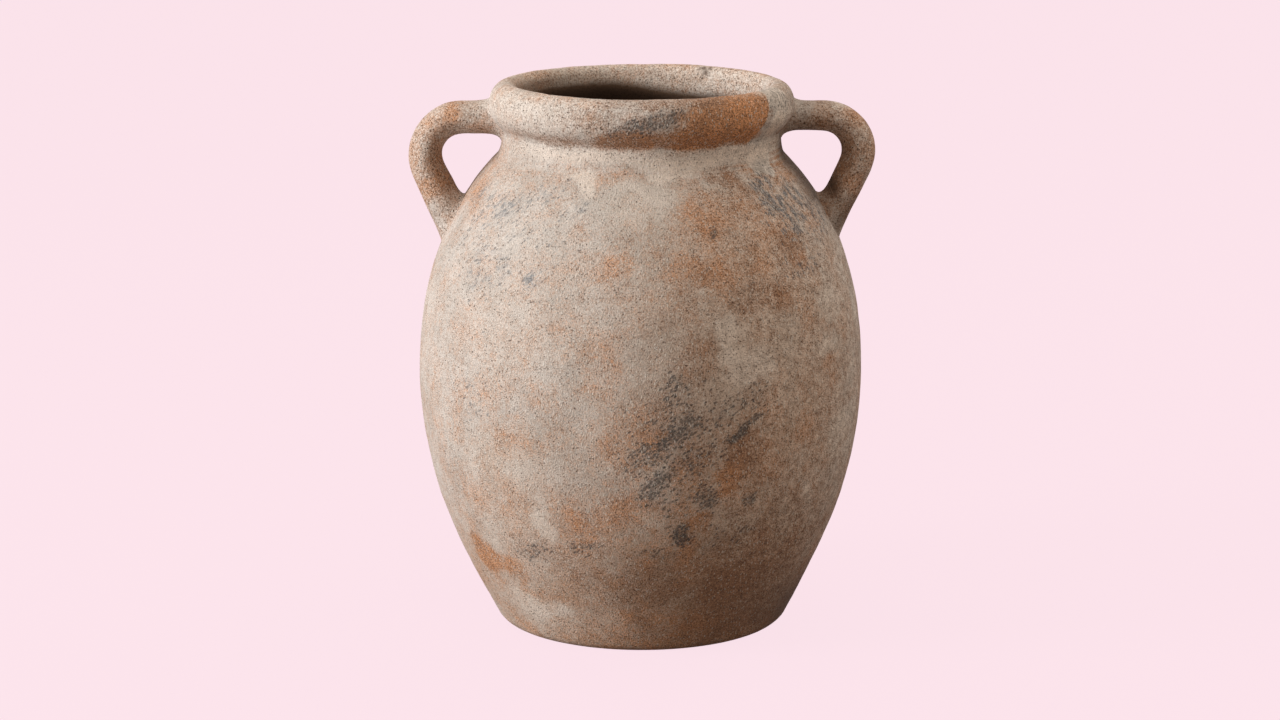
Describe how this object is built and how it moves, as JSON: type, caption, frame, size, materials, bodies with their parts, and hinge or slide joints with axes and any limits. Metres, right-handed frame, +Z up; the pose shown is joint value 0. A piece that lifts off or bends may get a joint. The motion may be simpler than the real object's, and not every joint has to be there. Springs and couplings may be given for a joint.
{
  "type": "two-handled terracotta vase",
  "caption": "Round-bellied weathered terracotta jar vase with a thick rolled rim collar, a narrow neck groove and two ear handles luted from collar to shoulder.",
  "frame": {"origin": "centre of the flat underside, where the vase stands", "axes": "+Z up along the axis of the vase, X through the two handles, -Y the side seen in the picture"},
  "size_m": [0.3229, 0.309, 0.38],
  "materials": {
    "weathered_terracotta": "chalky film worn through to orange clay, unglazed, matt",
    "bare_terracotta": "bare fired clay, unglazed, matt",
    "smeared_clay": "clay smeared by hand, unglazed, matt"
  },
  "bodies": {
    "root": {"base_slab": "bare_terracotta", "floor_coil": "smeared_clay", "lower_wall": "weathered_terracotta", "shoulder_wall": "weathered_terracotta", "rim_collar": "weathered_terracotta", "left_handle": "weathered_terracotta", "right_handle": "weathered_terracotta", "left_upper_lute": "smeared_clay", "left_lower_lute": "smeared_clay", "right_upper_lute": "smeared_clay", "right_lower_lute": "smeared_clay"}
  },
  "joints": []
}
